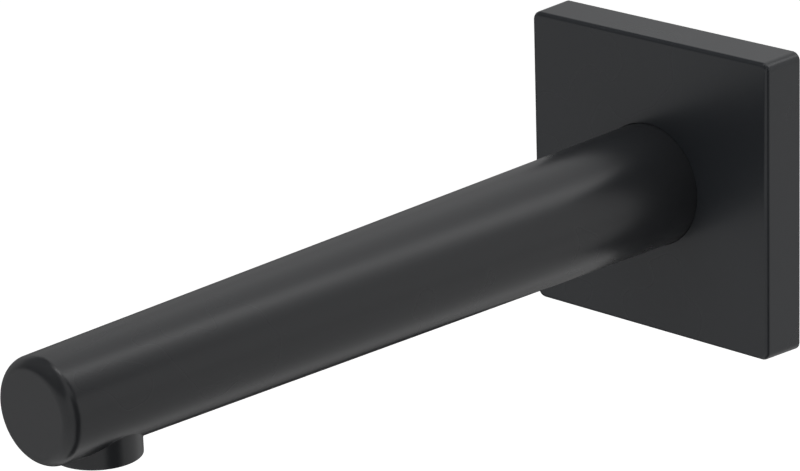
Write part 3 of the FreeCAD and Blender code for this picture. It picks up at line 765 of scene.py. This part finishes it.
woven_disc = weaving_tree()
screen = run_tree(new_piece("aerator_screen_woven"), woven_disc, {
    "Radius": 5.55 * MM, "Pitch": 0.55 * MM, "Wire": 0.2 * MM,
    "Place": (0, -REACH * MM, -10.9 * MM), "Material": steel})
settle(shade(screen, 60), "stainless_steel", "aerator_mesh_screen")

# %% [markdown]
# The foam frame behind the plate's rim is cut from sheet: a strip of one width that runs round a square with
# rounded corners. That is a path and a section, so the last tree fillets a square path and sweeps a filleted
# rectangle along it. The soft rounding of its edges is what tells foam from metal.

# %% The foam frame
def frame_tree():
    """Builds the tree: a rectangle of Width and Depth, swept along a square path of side Side."""
    tree, given = new_tree(
        "swept_frame", Side="Float", Corner="Float", Width="Float", Depth="Float", Place="Vector", Turn="Vector",
        Material="Material")
    square = add(tree, "GeometryNodeCurvePrimitiveQuadrilateral", {"Width": given["Side"], "Height": given["Side"]})
    path = add(tree, "GeometryNodeFilletCurve", {
        "Curve": square.outputs[0], "Radius": given["Corner"], "Count": 8}, mode="POLY")
    block = add(tree, "GeometryNodeCurvePrimitiveQuadrilateral", {"Width": given["Width"], "Height": given["Depth"]})
    section = add(tree, "GeometryNodeFilletCurve", {
        "Curve": block.outputs[0], "Radius": 0.35 * MM, "Count": 5}, mode="POLY")
    swept = add(tree, "GeometryNodeCurveToMesh", {"Curve": path.outputs[0], "Profile Curve": section.outputs[0]})
    moved = add(tree, "GeometryNodeTransform", {
        "Geometry": swept.outputs["Mesh"], "Translation": given["Place"], "Rotation": given["Turn"]})
    return close_tree(tree, given, moved.outputs["Geometry"])


swept_frame = frame_tree()
seal_side, seal_width, seal_depth = 66.8, 2.5, 2.0
seal = run_tree(new_piece("wall_seal_foam"), swept_frame, {
    "Side": (seal_side - seal_width) * MM, "Corner": 1.75 * MM, "Width": seal_width * MM, "Depth": seal_depth * MM,
    "Place": (0, -seal_depth / 2 * MM, 0), "Turn": ALONG_ARM, "Material": foam})
settle(shade(seal), "seal_foam", "wall_seal")

# %% [markdown]
# The camera stands where the photograph's did. It was solved from the edges of the plate, the arm and the outlet,
# so its three axes and its place are written as they came out. There is no shift and no depth of field.

# %% The camera
def photo_camera():
    """A long lens, from the front right and a little above."""
    right = Vector((0.71920172, 0.69418413, -0.02927936))
    up = Vector((-0.20531789, 0.25259822, 0.9455362))
    back = Vector((0.66377214, -0.67401968, 0.3241975))
    data = bpy.data.cameras.new("photo_camera")
    data.sensor_width = 36.0
    data.lens = 192.513
    data.clip_start = 0.05
    data.clip_end = 50.0
    camera = bpy.data.objects.new("photo_camera", data)
    camera.matrix_world = Matrix((right, up, back)).transposed().to_4x4()
    camera.location = Vector((605.078, -706.055, 304.843)) * MM
    bpy.context.scene.collection.objects.link(camera)
    bpy.context.scene.camera = camera
    return camera


print("camera", round(photo_camera().location.length, 3), "m from the wall's centre")

# %% [markdown]
# A satin black surface shows little but what surrounds it, so light alone doesn't draw it. The world is plain white
# for the camera and for reflections, and a softer grey lights the object. The floor is matt white. It lies well
# below the spout, so that its shadow stays soft. It adds light of its own for the camera, and less of it for
# reflections, so that it ends as white. It has one side only: its back is clear, so that the camera can look up at
# the spout through it.

# %% The white studio
def studio_world():
    """A white world: strength 1 for the camera, reflections and glass, and a plain level for the light itself."""
    world = bpy.data.worlds.new("white_studio")
    world.use_nodes = True
    tree = world.node_tree
    tree.nodes.clear()
    path = add(tree, "ShaderNodeLightPath").outputs
    seen = add(tree, "ShaderNodeMath", {0: path["Is Camera Ray"], 1: path["Is Glossy Ray"]}, operation="ADD")
    seen = add(tree, "ShaderNodeMath", {
        0: seen.outputs[0], 1: path["Is Transmission Ray"]}, operation="ADD", use_clamp=True)
    light = add(tree, "ShaderNodeBackground", {"Color": colour("#FFFFFF"), "Strength": 0.7})
    white = add(tree, "ShaderNodeBackground", {"Color": colour("#FFFFFF"), "Strength": 1.0})
    mix = add(tree, "ShaderNodeMixShader", {0: seen.outputs[0], 1: light.outputs[0], 2: white.outputs[0]})
    add(tree, "ShaderNodeOutputWorld", {"Surface": mix.outputs[0]})
    bpy.context.scene.world = world


def studio_floor(height):
    """A matt white floor at a height in millimetres, clear when it is seen from below."""
    material, tree, shader = new_material("matt_white_floor")
    shader.inputs["Base Color"].default_value = colour("#F2F2F2")
    shader.inputs["Roughness"].default_value = 1.0
    shader.inputs["Specular IOR Level"].default_value = 0.0
    shader.inputs["Emission Color"].default_value = colour("#FFFFFF")
    path = add(tree, "ShaderNodeLightPath").outputs
    camera_lift, mirror_lift = 0.35, 0.22
    mirrored = add(tree, "ShaderNodeMath", {0: path["Is Glossy Ray"], 1: mirror_lift}, operation="MULTIPLY")
    lift = add(tree, "ShaderNodeMath", {
        0: path["Is Camera Ray"], 1: camera_lift, 2: mirrored.outputs[0]}, operation="MULTIPLY_ADD")
    tree.links.new(lift.outputs[0], shader.inputs["Emission Strength"])
    clear = add(tree, "ShaderNodeBsdfTransparent")
    below = add(tree, "ShaderNodeNewGeometry").outputs["Backfacing"]
    one_sided = add(tree, "ShaderNodeMixShader", {0: below, 1: shader.outputs["BSDF"], 2: clear.outputs["BSDF"]})
    output = next(n for n in tree.nodes if n.type == "OUTPUT_MATERIAL")
    tree.links.new(one_sided.outputs[0], output.inputs["Surface"])
    side = 6000
    corners = [(-side, -side, height), (side, -side, height), (side, side, height), (-side, side, height)]
    floor = new_piece("floor", corners, (), [(0, 1, 2, 3)], material)


studio_world()
studio_floor(-700)
bpy.context.scene.view_settings.view_transform = "Standard"
print("world and floor are white")

# %% [markdown]
# Now the reflections are shaped, as a photographer does it with card. Each card hangs where a face of the spout
# mirrors it towards the camera. A dark field behind the spout draws its outline, and grey cards in front, overhead
# and below hold the faces down. Four small black flags deepen this where an edge needs it: to the right, above,
# below and behind. The one behind is rolled to lie along the arm, and draws the dark line on its lower edge. The
# cards show in reflections only, so they neither dim the light nor stand in the picture.

# %% The cards
ARM_MIDDLE = Vector((0, -0.1, 0))


def card(name, azimuth, elevation, distance, width, height, levels, roll=0):
    """A card that faces the arm's middle from a direction in degrees, with sizes in metres. levels lists pairs of a
    share of the way from its middle out to half its width, and how bright it is there, from 0 to 1. roll turns the
    card in its own plane, in degrees."""
    turn = Matrix.Rotation(math.radians(azimuth), 4, "Z") @ Matrix.Rotation(math.radians(-elevation), 4, "Y")
    turn = turn @ Matrix.Rotation(math.radians(roll), 4, "X")
    centre = ARM_MIDDLE + turn @ Vector((distance, 0, 0))
    corners = [ARM_MIDDLE + turn @ Vector((distance, x * width / 2, z * height / 2))
               for x, z in ((-1, -1), (-1, 1), (1, 1), (1, -1))]
    material = bpy.data.materials.new(name)
    material.use_nodes = True
    tree = material.node_tree
    tree.nodes.clear()
    place = add(tree, "ShaderNodeTexCoord").outputs["Object"]
    far = add(tree, "ShaderNodeVectorMath", {0: place, 1: centre}, operation="DISTANCE").outputs["Value"]
    share = add(tree, "ShaderNodeMath", {0: far, 1: width / 2}, operation="DIVIDE", use_clamp=True)
    ramp = add(tree, "ShaderNodeValToRGB", {"Fac": share.outputs[0]})
    stops = ramp.color_ramp.elements
    stops.remove(stops[1])
    stops[0].color = (levels[0][1],) * 3 + (1,)
    for position, level in levels[1:]:
        stops.new(position).color = (level,) * 3 + (1,)
    glow = add(tree, "ShaderNodeEmission", {"Color": ramp.outputs["Color"], "Strength": 1.0})
    add(tree, "ShaderNodeOutputMaterial", {"Surface": glow.outputs[0]})
    piece = new_piece(name, [c / MM for c in corners], (), [(0, 1, 2, 3)], material)
    piece.visible_camera = False
    piece.visible_diffuse = False
    piece.visible_transmission = False
    piece.visible_shadow = False


black = [(0, 0.0)]
card("dark_field_behind", 155, -28, 0.55, 1.84, 2.3, [
    (0.31, 0.0), (0.43, 0.3), (0.65, 0.51), (0.84, 0.45), (0.95, 0.66), (1.0, 0.78)])
card("grey_card_in_front", 255, -5, 1.4, 3.2, 1.5, [(0, 0.86)])
card("grey_card_overhead", 231, 47, 0.98, 3.8, 2.1, [(0.25, 0.35), (0.45, 0.15), (0.65, 0.1)])
card("grey_card_below", 54, -49, 0.75, 0.8, 0.8, [(0.25, 0.63), (1.0, 0.84)])
card("black_flag_right", -7, -5, 0.6, 0.44, 0.9, black)
card("black_flag_above", 22, 42, 0.6, 0.2, 0.4, black)
card("black_flag_below", -6, -66, 0.55, 0.3, 0.5, black)
card("black_flag_behind", 142, -30, 0.42, 0.36, 0.24, black, 74)

# %% [markdown]
# Three lamps finish the light. A narrow strip box over the wall side gives the long soft highlight on the arm's
# shoulder. A large soft box overhead lights everything evenly from above, and reflections leave it out, because a
# card takes its place there. A very small lamp over the tip puts a glint on its rounded edge.

# %% The lamps
def softbox(name, place, aim, along, width, length, power):
    """A rectangular lamp, unseen by the camera, whose length runs along a direction. Metres and watts."""
    data = bpy.data.lights.new(name, "AREA")
    data.shape = "RECTANGLE"
    data.size = width
    data.size_y = length
    data.energy = power
    lamp = bpy.data.objects.new(name, data)
    back = (Vector(place) - Vector(aim)).normalized()
    side = Vector(along).cross(back).normalized()
    lamp.matrix_world = Matrix.Translation(place) @ Matrix((side, back.cross(side), back)).transposed().to_4x4()
    lamp.visible_camera = False
    bpy.context.scene.collection.objects.link(lamp)
    return lamp


softbox("strip_box", (0.205, 0.44, 0.95), (0, -0.1, 0), (0.5, 0.866, 0), 0.2, 1.4, 2.0)
overhead = softbox("overhead_softbox", (-0.3, -0.6, 1.6), (0, -0.1, 0), (0, 1, 0), 1.2, 1.2, 14)
overhead.visible_glossy = False
softbox("tip_lamp", (0.045, -0.095, 0.5), (0, -0.19, 0.01), (0, 1, 0), 0.05, 0.05, 0.12)
print("strip, overhead and tip lamps are up")

# %% [markdown]
# Last, each solid that is carried over as it is gets its finish.

# %% Finish the solids that stay, and close
finishes = {
    "escutcheon": coated_plate,
    "aerator_seal": rubber,
    "aerator_dome_screen": core_plastic,
    "aerator_jet_plate": core_plastic,
    "aerator_outlet_grid": grid_plastic,
}
for node_name, material in finishes.items():
    solid = frame["nodes"][node_name]
    for holder in solid.material_slots:
        holder.material = material
